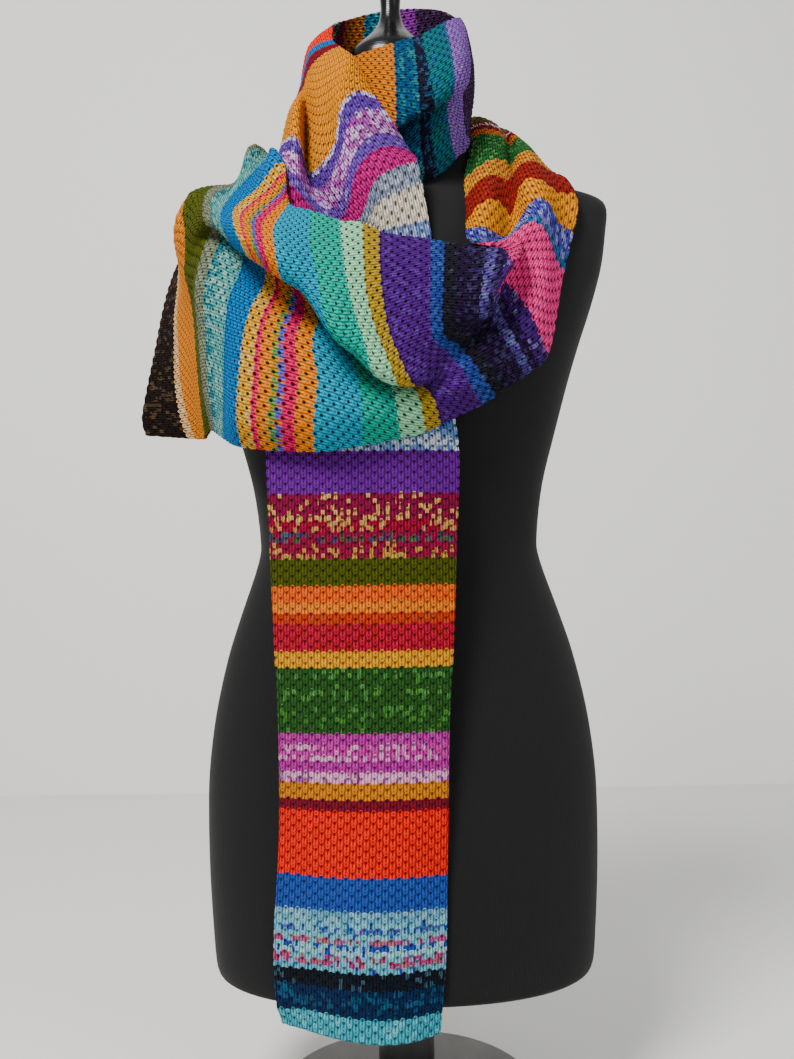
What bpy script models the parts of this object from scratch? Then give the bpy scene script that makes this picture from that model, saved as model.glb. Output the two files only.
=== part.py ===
"""A long striped knit scarf, wound round the neck of a dress form on a pole stand."""
import bpy
import math
import numpy as np
from mathutils import Vector
from mathutils.bvhtree import BVHTree

MM = 0.001                 # every size below is in millimetres

# Stand and dress form
BASE_RADIUS = 115.0
BASE_THICKNESS = 15.0
BASE_EDGE = 3.0
POLE_RADIUS = 25.0
TORSO_BOTTOM = 118.0
NECK_TOP = 944.0
TORSO_SIDES = 32
GAP = 0.3                  # between pieces that meet

# Scarf
CLOTH = 3.0                # wall of the knit
LAYER_GAP = 5.5            # least distance between the middles of two layers
FORM_GAP = 3.8             # least distance from the form to the middle of the cloth
ACROSS = 25                # points across the width while the cloth is laid
STEP = 13.0                # distance between rows of points along the length
SEAM_GAP = 0.7             # between one stretch of the cloth and the next
NEAR_ROWS = 6              # rows this close belong to the same layer of cloth
PASSES = 4                 # times the cloth is pushed clear of what lies under it

# One row per level of the dress form: height, half width, depth to the front, depth to the back, squareness
TORSO_LEVELS = [
    (118, 150, 88, 98, 2.3),
    (121, 161, 96, 108, 2.3),
    (130, 168, 101, 114, 2.3),
    (160, 171, 104, 118, 2.3),
    (211, 174, 105, 119, 2.3),
    (260, 175, 102, 116, 2.3),
    (301, 174, 98, 109, 2.3),
    (350, 168, 92, 97, 2.3),
    (400, 157, 86, 85, 2.25),
    (438, 145, 83, 78, 2.2),
    (485, 129, 80, 73, 2.2),
    (508, 127, 80, 72, 2.2),
    (554, 133, 85, 75, 2.2),
    (600, 145, 95, 82, 2.25),
    (647, 158, 108, 88, 2.3),
    (682, 169, 113, 92, 2.35),
    (717, 181, 109, 95, 2.4),
    (752, 191, 98, 94, 2.5),
    (785, 196, 84, 87, 2.6),
    (806, 198, 72, 76, 2.7),
    (815, 192, 64, 67, 2.6),
    (823, 168, 58, 60, 2.4),
    (834, 130, 53, 55, 2.2),
    (851, 92, 51, 54, 2.1),
    (871, 67, 50, 53, 2.0),
    (900, 53, 48, 50, 2.0),
    (944, 48, 46, 48, 2.0),
]

# Turned cap on the neck: radius and height, from its outer edge up to the knob
CAP_PROFILE = [
    (10.0, 1062.0),
    (14.0, 1058.0),
    (17.0, 1050.0),
    (17.5, 1042.0),
    (15.0, 1033.0),
    (11.0, 1025.0),
    (9.5, 1014.0),
    (9.8, 1003.0),
    (13.0, 992.0),
    (21.0, 981.0),
    (32.0, 970.0),
    (41.0, 960.0),
    (44.0, 952.0),
]

# The scarf, hem of the hanging tail first.  One row per line across the cloth: its name, then
# points (x, y, z) from the outer selvedge to the one that lies nearer the neck.
LINES = [
    ("hem", [(-102, -78, 107), (-70, -100, 102), (-29, -116, 100), (2, -114, 100), (27, -100, 102)]),
    ("tail_low", [(-104, -82, 168), (-69, -104, 168), (-32, -118, 169), (2, -116, 169), (33, -102, 169)]),
    ("tail_hip", [(-102, -92, 254), (-66, -110, 254), (-31, -118, 254), (3, -117, 254), (36, -108, 254)]),
    ("tail_mid", [(-101, -102, 345), (-66, -112, 345), (-30, -117, 345), (6, -116, 345), (39, -110, 345)]),
    ("tail_waist", [(-104, -102, 420), (-67, -113, 420), (-29, -118, 420), (8, -117, 420),
                    (44, -109, 420)]),
    ("tail_high", [(-107, -103, 501), (-68, -114, 500), (-29, -119, 500), (10, -118, 500),
                   (48, -110, 500)]),
    ("tail_top", [(-109, -102, 573), (-68, -114, 571), (-28, -119, 570), (12, -118, 570),
                  (51, -109, 570)]),
    ("chest_low", [(-110, -100, 625), (-69, -114, 622), (-29, -120, 621), (9, -118, 620),
                   (45, -108, 621)]),
    ("chest_mid", [(-111, -100, 695), (-72, -114, 691), (-35, -118, 689), (4, -117, 689), (37, -110, 694)]),
    ("chest_blue", [(-109, -88, 743), (-75, -98, 736), (-41, -104, 737), (-4, -106, 746), (32, -100, 752)]),
    ("chest_grey", [(-107, -84, 784), (-80, -98, 766), (-53, -102, 754), (-27, -112, 768),
                    (-15, -116, 796), (4, -108, 811), (21, -94, 822)]),
    ("chest_pink", [(-104, -78, 815), (-88, -98, 801), (-73, -94, 785), (-61, -90, 773),
                    (-49, -92, 768), (-37, -108, 774), (-30, -116, 803), (-16, -110, 822),
                    (1, -98, 831), (17, -84, 831)]),
    ("neck_low", [(-99, -50, 857), (-88, -76, 852), (-81, -82, 846), (-77, -62, 828), (-72, -66, 823),
                  (-61, -88, 821), (-47, -106, 833), (-42, -110, 864), (-28, -102, 879), (-13, -90, 877)]),
    ("neck_mid", [(-94, -40, 887), (-86, -64, 887), (-81, -66, 882), (-79, -46, 875), (-75, -48, 876),
                  (-64, -74, 876), (-52, -92, 891), (-40, -94, 908), (-35, -88, 918), (-29, -80, 914)]),
    ("neck_high", [(-90, -16, 912), (-84, -28, 914), (-79, -34, 917), (-75, -40, 927), (-68, -48, 933),
                   (-58, -52, 939), (-50, -52, 943), (-45, -52, 945)]),
    ("neck_side", [(-88, 8, 926), (-84, -2, 938), (-80, -10, 949), (-75, -18, 959), (-67, -24, 962),
                   (-59, -26, 964), (-53, -26, 965)]),
    ("neck_turn", [(-80, 34, 925), (-83, 26, 945), (-81, 20, 965), (-76, 15, 981), (-68, 10, 990),
                   (-60, 5, 993), (-54, 2, 994)]),
    ("back_left", [(-52, 72, 903), (-56, 70, 945), (-53, 64, 990), (-46, 54, 1030)]),
    ("back", [(0, 88, 893), (0, 88, 940), (0, 80, 1000), (0, 68, 1048)]),
    ("back_right", [(56, 68, 922), (58, 64, 950), (55, 58, 990), (47, 48, 1036)]),
    ("side_right", [(78, 22, 936), (79, 23, 952), (76, 20, 978), (65, 15, 1006)]),
    ("wrap_lilac", [(62, -28, 851), (62, -34, 865), (62, -38, 880), (62, -34, 898), (63, -26, 916),
                    (64, -24, 934), (64, -32, 940), (64, -44, 926), (64, -58, 902), (67, -60, 908),
                    (69, -54, 926), (69, -44, 946), (67, -30, 972), (63, -14, 992)]),
    ("wrap_teal", [(56, -50, 840), (52, -60, 850), (50, -64, 864), (49, -60, 880), (49, -52, 900),
                   (49, -50, 920), (50, -56, 925), (50, -70, 908), (50, -88, 880), (54, -92, 890),
                   (54, -82, 914), (53, -64, 940), (50, -40, 974)]),
    ("wrap_black", [(40, -60, 821), (38, -70, 833), (35, -76, 847), (34, -70, 866), (35, -62, 888),
                    (36, -58, 908), (37, -64, 913), (38, -78, 894), (37, -98, 866), (36, -104, 878),
                    (33, -92, 903), (30, -76, 927), (29, -54, 955)]),
    ("wrap_blue", [(28, -64, 814), (27, -74, 827), (25, -80, 840), (25, -76, 858), (25, -68, 880),
                   (26, -64, 900), (25, -70, 904), (25, -82, 886), (24, -104, 857), (24, -108, 871),
                   (23, -96, 897), (22, -80, 922), (20, -60, 949)]),
    ("wrap_tan", [(8, -64, 813), (8, -74, 825), (6, -78, 839), (6, -74, 854), (5, -66, 874),
                  (5, -70, 882), (5, -82, 868), (5, -96, 850), (5, -100, 864), (5, -94, 889),
                  (4, -80, 918), (3, -62, 943)]),
    ("wrap_tuck", [(-38, -52, 826), (-41, -53, 852), (-41, -52, 878), (-40, -50, 906), (-39, -44, 938)]),
    ("under_left", [(-66, -14, 836), (-67, -14, 862), (-64, -12, 890), (-60, -8, 915), (-57, -6, 940)]),
    ("under_back_left", [(-64, 46, 858), (-58, 46, 880), (-52, 44, 905), (-47, 42, 930), (-44, 40, 955)]),
    ("under_back", [(12, 78, 872), (8, 70, 888), (5, 64, 908), (3, 60, 930), (2, 58, 952)]),
    ("under_back_right", [(82, 78, 878), (72, 70, 890), (62, 60, 899), (53, 50, 908), (46, 40, 918)]),
    ("shoulder_brown", [(116, 58, 907), (106, 52, 913), (98, 44, 916), (89, 36, 917), (81, 26, 915),
                        (73, 14, 907)]),
    ("shoulder_green", [(127, 26, 889), (118, 12, 887), (113, 18, 881), (103, -4, 881), (92, -16, 879),
                        (80, -22, 876), (70, -22, 869)]),
    ("shoulder_gold", [(138, -12, 853), (126, -38, 852), (116, -44, 850), (111, -34, 846),
                       (106, -32, 836), (99, -50, 839), (88, -62, 836), (78, -68, 829), (70, -66, 822),
                       (62, -58, 809)]),
    ("shoulder_red", [(155, -44, 801), (142, -66, 805), (131, -78, 809), (120, -84, 811),
                      (111, -80, 809), (106, -72, 796), (98, -80, 776), (93, -86, 787), (85, -98, 790),
                      (77, -104, 786), (70, -104, 780), (61, -92, 767)]),
    ("shoulder_mustard", [(152, -66, 766), (140, -84, 770), (132, -94, 782), (124, -98, 788),
                          (116, -96, 784), (110, -86, 775), (102, -88, 762), (95, -92, 754),
                          (86, -104, 753), (77, -112, 757), (70, -112, 759), (61, -102, 760)]),
    ("shoulder_lilac", [(143, -78, 730), (135, -92, 740), (129, -102, 752), (122, -110, 761),
                        (114, -110, 763), (106, -102, 760), (99, -98, 755), (91, -100, 751),
                        (81, -108, 746), (72, -112, 745), (63, -108, 747)]),
    ("cowl_pink", [(129, -92, 658), (122, -104, 669), (116, -112, 682), (110, -110, 696),
                   (101, -100, 709), (93, -96, 716), (89, -106, 717), (85, -118, 705), (82, -130, 703),
                   (88, -136, 712), (96, -134, 722), (104, -124, 733), (106, -106, 746)]),
    ("cowl_white", [(113, -98, 640), (103, -110, 654), (95, -116, 667), (89, -112, 680),
                    (85, -104, 692), (81, -112, 693), (76, -124, 681), (72, -136, 681),
                    (74, -140, 691), (77, -138, 705), (80, -132, 721), (84, -116, 739)]),
    ("cowl_black", [(84, -100, 621), (72, -118, 633), (61, -124, 647), (54, -118, 657),
                    (50, -126, 660), (41, -138, 660), (38, -144, 671), (39, -142, 693),
                    (41, -134, 719), (43, -118, 744)]),
    ("cowl_blue", [(71, -110, 611), (61, -128, 621), (53, -134, 635), (45, -128, 646), (40, -134, 651),
                   (30, -146, 655), (27, -150, 673), (28, -147, 696), (29, -138, 722), (30, -120, 746)]),
    ("cowl_purple", [(36, -118, 594), (31, -138, 609), (27, -138, 616), (21, -130, 624),
                     (19, -140, 625), (17, -152, 619), (11, -162, 622), (3, -164, 639),
                     (-5, -160, 662), (-9, -156, 690), (-11, -145, 720), (-11, -122, 752)]),
    ("cowl_gold", [(23, -122, 587), (20, -142, 600), (18, -140, 612), (12, -132, 622), (5, -128, 632),
                   (3, -140, 631), (3, -154, 620), (-1, -168, 621), (-7, -172, 636), (-15, -168, 656),
                   (-23, -162, 689), (-25, -148, 724), (-26, -122, 761)]),
    ("cowl_mint", [(5, -124, 582), (2, -144, 598), (0, -144, 613), (-5, -134, 626), (-11, -128, 639),
                   (-14, -140, 639), (-13, -156, 626), (-16, -172, 625), (-20, -176, 641),
                   (-29, -172, 667), (-35, -166, 692), (-39, -150, 725), (-43, -118, 763)]),
    ("cowl_green", [(-28, -128, 576), (-26, -148, 594), (-28, -150, 614), (-32, -140, 633),
                    (-37, -128, 654), (-44, -126, 669), (-47, -140, 669), (-45, -156, 655),
                    (-48, -172, 655), (-53, -178, 670), (-58, -172, 695), (-66, -152, 732),
                    (-68, -114, 774)]),
    ("cowl_cyan", [(-64, -128, 571), (-63, -148, 594), (-59, -152, 625), (-64, -148, 650),
                   (-63, -140, 665), (-60, -126, 683), (-71, -118, 703), (-82, -118, 720),
                   (-85, -132, 720), (-86, -148, 706), (-87, -164, 704), (-89, -172, 714),
                   (-92, -166, 730), (-94, -148, 748), (-87, -104, 782)]),
    ("cowl_orange", [(-126, -98, 579), (-128, -120, 600), (-124, -128, 642), (-120, -126, 672),
                     (-114, -118, 695), (-104, -104, 715), (-107, -96, 732), (-115, -98, 745),
                     (-119, -112, 747), (-117, -130, 731), (-117, -146, 730), (-121, -150, 740),
                     (-127, -142, 753), (-130, -118, 774), (-116, -94, 794), (-88, -76, 808)]),
    ("cowl_azure", [(-151, -50, 593), (-145, -84, 623), (-140, -104, 674), (-136, -104, 705),
                    (-127, -92, 727), (-124, -80, 744), (-131, -78, 759), (-135, -92, 760),
                    (-133, -106, 748), (-134, -120, 748), (-138, -126, 756), (-142, -118, 768),
                    (-140, -94, 790), (-131, -66, 815), (-117, -46, 836), (-106, -36, 846)]),
    ("left_teal", [(-169, -12, 607), (-170, -44, 639), (-170, -66, 688), (-170, -78, 721),
                   (-164, -76, 746), (-157, -66, 764), (-153, -60, 774), (-154, -72, 777),
                   (-157, -90, 771), (-160, -90, 783), (-160, -72, 805), (-153, -50, 819),
                   (-143, -34, 826), (-136, -32, 843), (-132, -22, 869), (-124, -8, 875), (-113, 6, 865)]),
    ("left_olive", [(-178, 4, 603), (-179, -14, 638), (-180, -26, 679), (-181, -34, 723),
                    (-182, -38, 753), (-180, -42, 770), (-177, -42, 785), (-173, -26, 804),
                    (-164, -4, 820), (-150, 12, 831), (-134, 20, 848), (-119, 28, 871)]),
    ("left_tan", [(-188, 22, 604), (-195, 16, 628), (-201, 14, 660), (-203, 14, 693), (-205, 18, 726),
                  (-204, 26, 756), (-205, 38, 782), (-204, 52, 801), (-193, 70, 821), (-175, 80, 834)]),
    ("end", [(-244, 40, 611), (-249, 44, 628), (-244, 48, 660), (-237, 54, 699), (-231, 62, 739),
             (-226, 74, 770), (-219, 88, 797), (-209, 98, 813), (-194, 106, 824), (-174, 110, 831)]),
]

# One row per stretch of the scarf: node, first line, last line, points left out of its wall, colour
STRETCHES = [
    ("scarf_tail", "hem", "tail_top", 4, "#7d3a6b"),
    ("scarf_chest", "tail_top", "chest_pink", 2, "#9a93c4"),
    ("scarf_neck_left", "chest_pink", "neck_turn", 2, "#f0a312"),
    ("scarf_neck_back", "neck_turn", "side_right", 4, "#3f2c46"),
    ("scarf_neck_front", "side_right", "wrap_tuck", 2, "#1f7d96"),
    ("scarf_neck_under", "wrap_tuck", "under_back_right", 4, "#c98d43"),
    ("scarf_shoulder_right", "under_back_right", "shoulder_mustard", 2, "#8e2f2a"),
    ("scarf_cowl_right", "shoulder_mustard", "cowl_purple", 2, "#4b2a7d"),
    ("scarf_cowl_left", "cowl_purple", "cowl_azure", 1, "#19b3b8"),
    ("scarf_shoulder_left", "cowl_azure", "left_olive", 1, "#4d7a80"),
    ("scarf_end", "left_olive", "end", 1, "#2b2324"),
]
# The order in which the cloth is laid on the form, innermost stretch first
LAID = ["scarf_neck_under", "scarf_neck_front", "scarf_shoulder_right", "scarf_neck_back", "scarf_neck_left",
        "scarf_chest", "scarf_tail", "scarf_cowl_right", "scarf_cowl_left", "scarf_shoulder_left", "scarf_end"]


def clear_scene():
    for item in list(bpy.data.objects):
        bpy.data.objects.remove(item, do_unlink=True)


def linear(code):
    """A Blender colour from an sRGB hex code."""
    parts = [int(code[k:k + 2], 16) / 255 for k in (1, 3, 5)]
    return [c / 12.92 if c <= 0.04045 else ((c + 0.055) / 1.055) ** 2.4 for c in parts] + [1.0]


def material(name, code, roughness, metallic=0.0):
    made = bpy.data.materials.new(name)
    made.use_nodes = True
    shader = made.node_tree.nodes["Principled BSDF"]
    shader.inputs["Base Color"].default_value = linear(code)
    shader.inputs["Roughness"].default_value = roughness
    shader.inputs["Metallic"].default_value = metallic
    made.diffuse_color = linear(code)
    return made


def mesh_object(name, points, faces, finish, group):
    """An object of its own from points in millimetres."""
    mesh = bpy.data.meshes.new(name)
    mesh.from_pydata([tuple(c * MM for c in p) for p in points], [], faces)
    mesh.materials.append(finish)
    mesh.update()
    mesh.shade_smooth()
    made = bpy.data.objects.new(name, mesh)
    group.objects.link(made)
    return made


# ---------------------------------------------------------------- dress form

def torso_ring(level):
    """Points round one level: a rounded oval, deeper at the front or the back as the level says."""
    height, half_width, front, back, square = level
    ring = []
    for k in range(TORSO_SIDES):
        angle = 2 * math.pi * k / TORSO_SIDES
        c = math.cos(angle)
        s = math.sin(angle)
        depth = back if s > 0 else front
        x = half_width * math.copysign(abs(c) ** (2 / square), c)
        y = depth * math.copysign(abs(s) ** (2 / square), s)
        ring.append((x, y, height))
    return ring


def torso_surface():
    points = []
    faces = []
    for level in TORSO_LEVELS:
        points += torso_ring(level)
    for row in range(len(TORSO_LEVELS) - 1):
        for k in range(TORSO_SIDES):
            a = row * TORSO_SIDES + k
            b = row * TORSO_SIDES + (k + 1) % TORSO_SIDES
            faces.append((a, b, b + TORSO_SIDES, a + TORSO_SIDES))
    faces.append(tuple(reversed(range(TORSO_SIDES))))
    top = (len(TORSO_LEVELS) - 1) * TORSO_SIDES
    faces.append(tuple(range(top, top + TORSO_SIDES)))
    return points, faces


def make_torso(group):
    points, faces = torso_surface()
    return mesh_object("form_torso", points, faces, material("form_jersey", "#26262a", 0.9), group)


def make_cap(group):
    """The turned neck cap and its knob, one closed profile turned round the post of the form."""
    profile = [(0.0, CAP_PROFILE[0][1])] + CAP_PROFILE
    profile += [(44.0, NECK_TOP + GAP), (0.0, NECK_TOP + GAP)]
    mesh = bpy.data.meshes.new("form_neck_cap")
    points = [(r * MM, 0.0, z * MM) for r, z in profile]
    mesh.from_pydata(points, [(k, k + 1) for k in range(len(points) - 1)], [])
    mesh.materials.append(material("form_black_lacquer", "#0b0b0c", 0.15))
    made = bpy.data.objects.new("form_neck_cap", mesh)
    group.objects.link(made)
    turned = made.modifiers.new("turn", "SCREW")
    turned.steps = 24
    turned.render_steps = 24
    turned.use_merge_vertices = True
    turned.merge_threshold = 0.00005
    return made


def make_cylinder(name, radius, low, high, sides, finish, group, edge=0.0):
    bpy.ops.mesh.primitive_cylinder_add(vertices=sides, radius=radius * MM, depth=(high - low) * MM,
                                        location=(0, 0, (low + high) / 2 * MM))
    made = bpy.context.object
    made.name = name
    made.data.name = name
    made.data.materials.append(finish)
    for holder in list(made.users_collection):
        holder.objects.unlink(made)
    group.objects.link(made)
    if edge:
        rounding = made.modifiers.new("rounded_edge", "BEVEL")
        rounding.width = edge * MM
        rounding.segments = 2
        rounding.limit_method = "ANGLE"
    return made


# ---------------------------------------------------------------- scarf

def smooth_curve(points, places):
    """Points of a Catmull-Rom curve through the given points, at the given places along their list."""
    points = np.asarray(points, float)
    last = len(points) - 1
    padded = np.concatenate([2 * points[:1] - points[1:2], points, 2 * points[-1:] - points[-2:-1]])
    places = np.clip(np.asarray(places, float), 0, last - 1e-9)
    k = places.astype(int)
    t = (places - k).reshape((-1,) + (1,) * (points.ndim - 1))
    p0, p1, p2, p3 = padded[k], padded[k + 1], padded[k + 2], padded[k + 3]
    return 0.5 * (2 * p1 + (p2 - p0) * t + (2 * p0 - 5 * p1 + 4 * p2 - p3) * t ** 2
                  + (3 * p1 - p0 - 3 * p2 + p3) * t ** 3)


def spread_evenly(points, count):
    """The same curve with points at equal distances along it."""
    fine = smooth_curve(points, np.linspace(0, len(points) - 1, 200))
    run = np.concatenate([[0], np.cumsum(np.linalg.norm(np.diff(fine, axis=0), axis=1))])
    wanted = np.linspace(0, run[-1], count)
    return np.stack([np.interp(wanted, run, fine[:, c]) for c in range(3)], axis=1)


def lay_lines():
    """All the cloth's points as rows across it, and the row at which each named line lies."""
    lines = np.array([spread_evenly(points, ACROSS) for name, points in LINES])
    places = [0.0]
    where = {LINES[0][0]: 0}
    for k in range(len(LINES) - 1):
        length = np.linalg.norm(lines[k + 1] - lines[k], axis=1).mean()
        steps = max(2, round(length / STEP))
        places += [k + (j + 1) / steps for j in range(steps)]
        where[LINES[k + 1][0]] = len(places) - 1
    return soften(soften(smooth_curve(lines, places))), where


def grid_faces(rows, columns):
    faces = []
    for i in range(rows - 1):
        for j in range(columns - 1):
            a = i * columns + j
            faces.append((a, a + 1, a + columns + 1, a + columns))
    return faces


def tree_of(grid):
    return BVHTree.FromPolygons([tuple(p) for p in grid.reshape(-1, 3)], grid_faces(*grid.shape[:2]))


def soften(field):
    """Each value averaged with its neighbours in both directions."""
    wide = np.pad(field, [(1, 1), (1, 1)] + [(0, 0)] * (field.ndim - 2), mode="edge")
    return (wide[1:-1, 1:-1] * 2 + wide[:-2, 1:-1] + wide[2:, 1:-1] + wide[1:-1, :-2] + wide[1:-1, 2:]) / 6


def widen(field):
    """Each value raised to the highest of its neighbours."""
    wide = np.pad(field, 1, mode="edge")
    sides = [wide[1:-1, 1:-1], wide[:-2, 1:-1], wide[2:, 1:-1], wide[1:-1, :-2], wide[1:-1, 2:]]
    return np.max(sides, axis=0)


def reach_needed(grid, first, last, form, laid, need, out):
    """How far each point of a stretch is short of clearing what lies under it, and the way out."""
    for i in range(first, last + 1):
        for j in range(ACROSS):
            point = Vector(grid[i, j])
            spot, away, face, distance = form.find_nearest(point)
            need[i, j] = max(need[i, j], FORM_GAP - (point - spot).dot(away))
            out[i, j] = away
            for tree, tree_row in laid:
                hit, facing, face, reach = tree.ray_cast(point + away * 80, -away, 110)
                if hit is not None and abs(tree_row + face // (ACROSS - 1) - i) > NEAR_ROWS:
                    need[i, j] = max(need[i, j], LAYER_GAP - (point - hit).dot(away))


def settle_cloth():
    """The middle surface of the whole scarf, each stretch laid clear of the form and of those under it."""
    grid, where = lay_lines()
    spans = {name: (where[first], where[last]) for name, first, last, every, colour in STRETCHES}
    points, faces = torso_surface()
    form = BVHTree.FromPolygons(points, faces)
    for turn in range(PASSES):
        need = np.zeros(grid.shape[:2])
        out = np.zeros_like(grid)
        laid = []
        for name in LAID:
            first, last = spans[name]
            reach_needed(grid, first, last, form, laid, need, out)
            laid.append((tree_of(grid[first:last + 1]), first))
        for k in range(3):
            out = soften(out)
        out /= np.linalg.norm(out, axis=2, keepdims=True)
        need = widen(need)
        lift = need.copy()
        for k in range(12):
            lift = np.maximum(need, soften(lift) * 0.97)
        grid += out * lift[:, :, None]
    return grid, spans


def cloth_normals(grid):
    along = np.gradient(grid, axis=0)
    across = np.gradient(grid, axis=1)
    normal = np.cross(across, along)
    normal /= np.linalg.norm(normal, axis=2, keepdims=True)
    normal = soften(soften(normal))
    return normal / np.linalg.norm(normal, axis=2, keepdims=True)


def cloth_solid(grid, normals, first, last, every):
    """A closed wall on rows first to last of the middle surface, on every so many points across."""
    part = grid[first:last + 1].copy()
    normal = normals[first:last + 1]
    for row, inward in ((0, 1), (-1, -1)):
        aside = np.cross(normal[row], np.gradient(part[row], axis=0))
        aside /= np.linalg.norm(aside, axis=1, keepdims=True)
        part[row] += aside * inward * SEAM_GAP / 2
    part = part[:, ::every]
    normal = normal[:, ::every]
    rows, columns = part.shape[:2]
    count = rows * columns
    points = [tuple(p) for p in (part + normal * CLOTH / 2).reshape(-1, 3)]
    points += [tuple(p) for p in (part - normal * CLOTH / 2).reshape(-1, 3)]
    front = grid_faces(rows, columns)
    faces = list(front)
    faces += [tuple(count + k for k in reversed(face)) for face in front]
    rim = list(range(columns))
    rim += [i * columns + columns - 1 for i in range(1, rows)]
    rim += [(rows - 1) * columns + j for j in reversed(range(columns - 1))]
    rim += [i * columns for i in reversed(range(1, rows - 1))]
    for k in range(len(rim)):
        a = rim[k]
        b = rim[(k + 1) % len(rim)]
        faces.append((b, a, count + a, count + b))
    return points, faces


def make_scarf(group):
    grid, spans = settle_cloth()
    normals = cloth_normals(grid)
    for name, first_line, last_line, every, colour in STRETCHES:
        first, last = spans[name]
        points, faces = cloth_solid(grid, normals, first, last, every)
        mesh_object(name, points, faces, material(name + "_knit", colour, 0.9), group)


def main():
    clear_scene()
    group = bpy.data.collections.new("knit_scarf_on_dress_form")
    bpy.context.scene.collection.children.link(group)
    make_torso(group)
    make_cap(group)
    black_metal = material("stand_black_steel", "#101012", 0.35, 0.6)
    make_cylinder("stand_base", BASE_RADIUS, 0.0, BASE_THICKNESS, 40, black_metal, group, BASE_EDGE)
    make_cylinder("stand_pole", POLE_RADIUS, BASE_THICKNESS + GAP, TORSO_BOTTOM - GAP, 24, black_metal, group)
    make_scarf(group)


main()
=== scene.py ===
"""Looks of a striped knit scarf on a dress form: the knit itself, the jersey form and its stand."""
import bpy
import math
import numpy as np
from collections import namedtuple
from mathutils import Matrix, Vector
from mathutils.bvhtree import BVHTree


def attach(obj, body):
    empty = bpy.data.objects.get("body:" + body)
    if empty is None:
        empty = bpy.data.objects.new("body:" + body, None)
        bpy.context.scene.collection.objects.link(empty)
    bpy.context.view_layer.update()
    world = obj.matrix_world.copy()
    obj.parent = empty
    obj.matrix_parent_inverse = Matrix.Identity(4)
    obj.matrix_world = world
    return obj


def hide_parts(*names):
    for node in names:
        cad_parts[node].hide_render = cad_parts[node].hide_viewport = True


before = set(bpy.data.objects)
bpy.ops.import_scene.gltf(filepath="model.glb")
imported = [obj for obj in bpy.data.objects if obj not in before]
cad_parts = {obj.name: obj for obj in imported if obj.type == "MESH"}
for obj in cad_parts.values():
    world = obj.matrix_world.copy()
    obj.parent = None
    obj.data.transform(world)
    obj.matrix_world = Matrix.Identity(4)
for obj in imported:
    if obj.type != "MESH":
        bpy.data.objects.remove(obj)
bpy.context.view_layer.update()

MM = 0.001

# ---------------------------------------------------------------- sizes, in millimetres
BASE_RADIUS = 115.0
BASE_THICKNESS = 15.0
BASE_EDGE = 3.0            # rounding of the disc's edges
POLE_RADIUS = 25.0
POLE_EDGE = 0.6
TORSO_BOTTOM = 118.0
NECK_TOP = 944.0
CAP_RADIUS = 44.0
JOINT_GAP = 0.3            # left between two hard pieces that meet

TORSO_SIDES = 96           # points round the form
TORSO_RINGS = 105          # rings of points up it
CAP_SIDES = 72             # and the same for the turned cap
CAP_RINGS = 60
DISC_SIDES = 128
POLE_SIDES = 64
SHARP_FROM = math.radians(35)   # edges that turn more than this stay sharp

CLOTH = 2.6                # wall of the knit
LAYER_GAP = 5.5            # least distance between the middles of two layers
FORM_GAP = 3.8             # least distance from the form to the middle of the cloth
ACROSS = 41                # points across the width while the cloth is laid
FINE_POINTS = 200          # points along a line while its length is measured
STEP = 9.0                 # distance between rows of points along the length
NEAR_ROWS = 8              # rows this close belong to the same layer of cloth
PROBE_OUT = 80.0           # layers under a point are felt for from this far outside it
PROBE_LENGTH = 110.0       # and over this distance
PASSES = 4                 # times the cloth is pushed clear of what lies under it
TURN_ROUNDS = 3            # times the ways out are evened with their neighbours'
LIFT_ROUNDS = 12           # times a raised place is spread to those round it
LIFT_KEPT = 0.97           # share of its height that it then keeps
WIDTH_ROUNDS = 120         # times the strip's width is evened along its length

WALE = 5.2                 # width of one stitch
ROW = 4.4                  # height of one row of stitches
FINE_ACROSS = 1.25         # mesh spacing across the knit
FINE_ALONG = 1.75          # mesh spacing along it
RELIEF = 1.0               # depth of a hole
BUMP_SHARE = 0.6           # height of a bump, as a share of that
RELIEF_START = 1.05        # rows of stitches from the hem to the first hole of the middle stitch
SPARE_ROWS = 2             # rows of stitches that a stretch's colours go past its ends

# The stitch.  A row's arches reach this many rows up into the next row, more or less by the swing
REACH = 0.40
REACH_SWING = 0.20
LOW_ARCH = 1.12            # radius of a low arch, to the middle of its strand
TALL_ARCH = 1.54
LOW_TOP = 1.10             # height of an arch's top over the foot of its row, in rows
TALL_TOP = 1.42
STRAND_HALF = 1.2          # half the width of a strand
LEG_CLOSING = 0.1          # how fast the legs close in below the arch, per millimetre
LEG_LEAST = 0.85           # and how far, as a share of the arch's radius
HOLE_HALF_WIDTH = 1.7
HOLE_HALF_HEIGHT = 1.6
HOLE_BELOW_ARCH = 0.2      # from the middle of the arch down to the middle of the hole
HOLE_EDGE = 1.35           # size of a hole's middle, fully deep and fully dark with painted shade; 1 would leave only a point
LOW_HOLE = 0.25            # how deep the hole under a low arch is, as a share of a tall one's
HAIR_WIDTH = 0.591         # a tuft of loose hairs across the strip, as coarse as it needs to be to show
HAIR_LENGTH = 1.667        # and along it

# Flecks of dye
CLUMP_ACROSS = 0.31        # clumps of flecks in the width of one stitch
CLUMP_ALONG = 7.7          # so much that a row's clumps have nothing to do with the next row's
CLUMPING = 1.1             # how much of chance is given to the clumps
LEAST_DRAW = 0.001         # a yarn with no flecks stays clear of them
FEWEST_FLECKS = 0.15       # share of its flecks that the poorest row takes, and the richest
MOST_FLECKS = 1.85
STRAY_POWER = 2.5          # the higher, the fewer flecks in stray colours

# Dyed yarn in bright light
DEPTH = 0.9                # how far the weaker parts of its colour are held back
PALE_LIGHT = 0.98          # light that a pale yarn gives back
DEEP_LOSS = 0.26           # how much less the deepest colour does

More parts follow.
